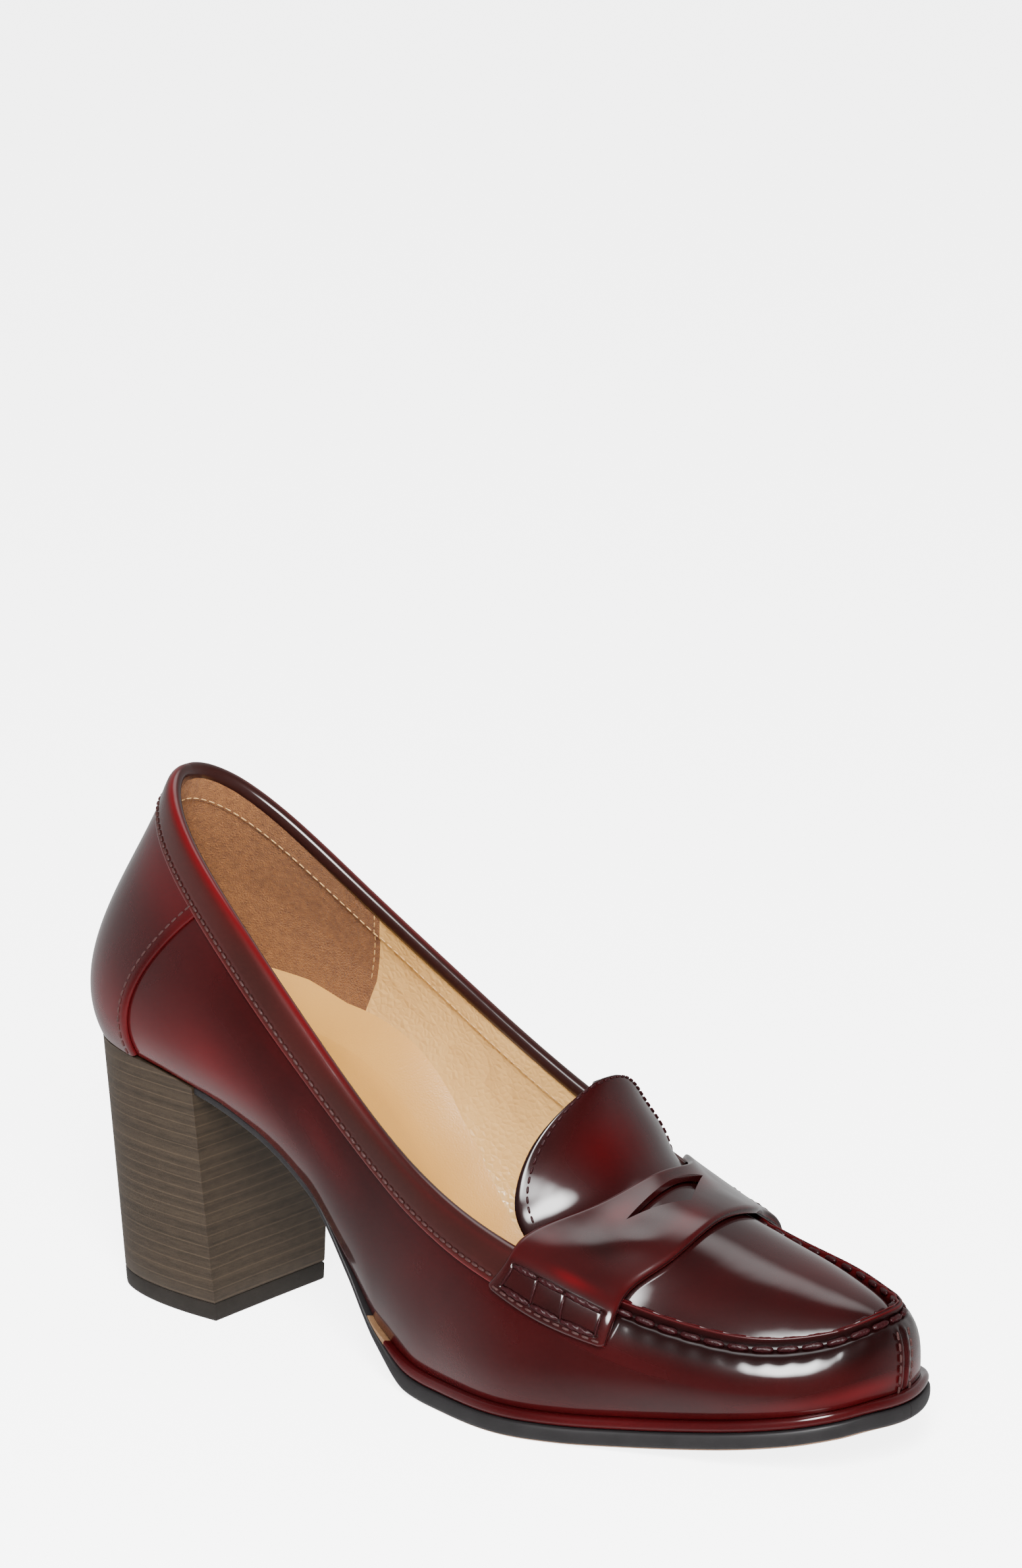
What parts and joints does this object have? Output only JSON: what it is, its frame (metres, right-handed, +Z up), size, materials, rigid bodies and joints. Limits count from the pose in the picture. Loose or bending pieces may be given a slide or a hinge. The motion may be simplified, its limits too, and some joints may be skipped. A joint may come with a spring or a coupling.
{
  "type": "loafer pump",
  "caption": "Right-foot women's loafer pump: open-collared leather upper with a moccasin seam, apron and tongue, slotted saddle strap, thin welted sole and a tall block heel.",
  "frame": {"origin": "on the floor, under the middle of the shoe's bounding box", "axes": "+X from the heel to the toe, +Y to the inner side of the right foot, +Z up from the floor"},
  "size_m": [0.2252, 0.0846, 0.1259],
  "materials": {
    "upper_leather": "glossy",
    "band_leather": "glossy",
    "welt_leather": "glossy",
    "lining_leather": "matte",
    "stacked_heel": "satin",
    "outsole_rubber": "matte",
    "top_lift_rubber": "matte"
  },
  "bodies": {
    "root": {"outsole": "outsole_rubber", "welt": "welt_leather", "heel_stack": "stacked_heel", "top_lift": "top_lift_rubber", "insole": "lining_leather", "upper": "upper_leather", "counter": "upper_leather", "collar_band": "band_leather", "apron": "upper_leather", "saddle_strap": "upper_leather"}
  },
  "joints": []
}
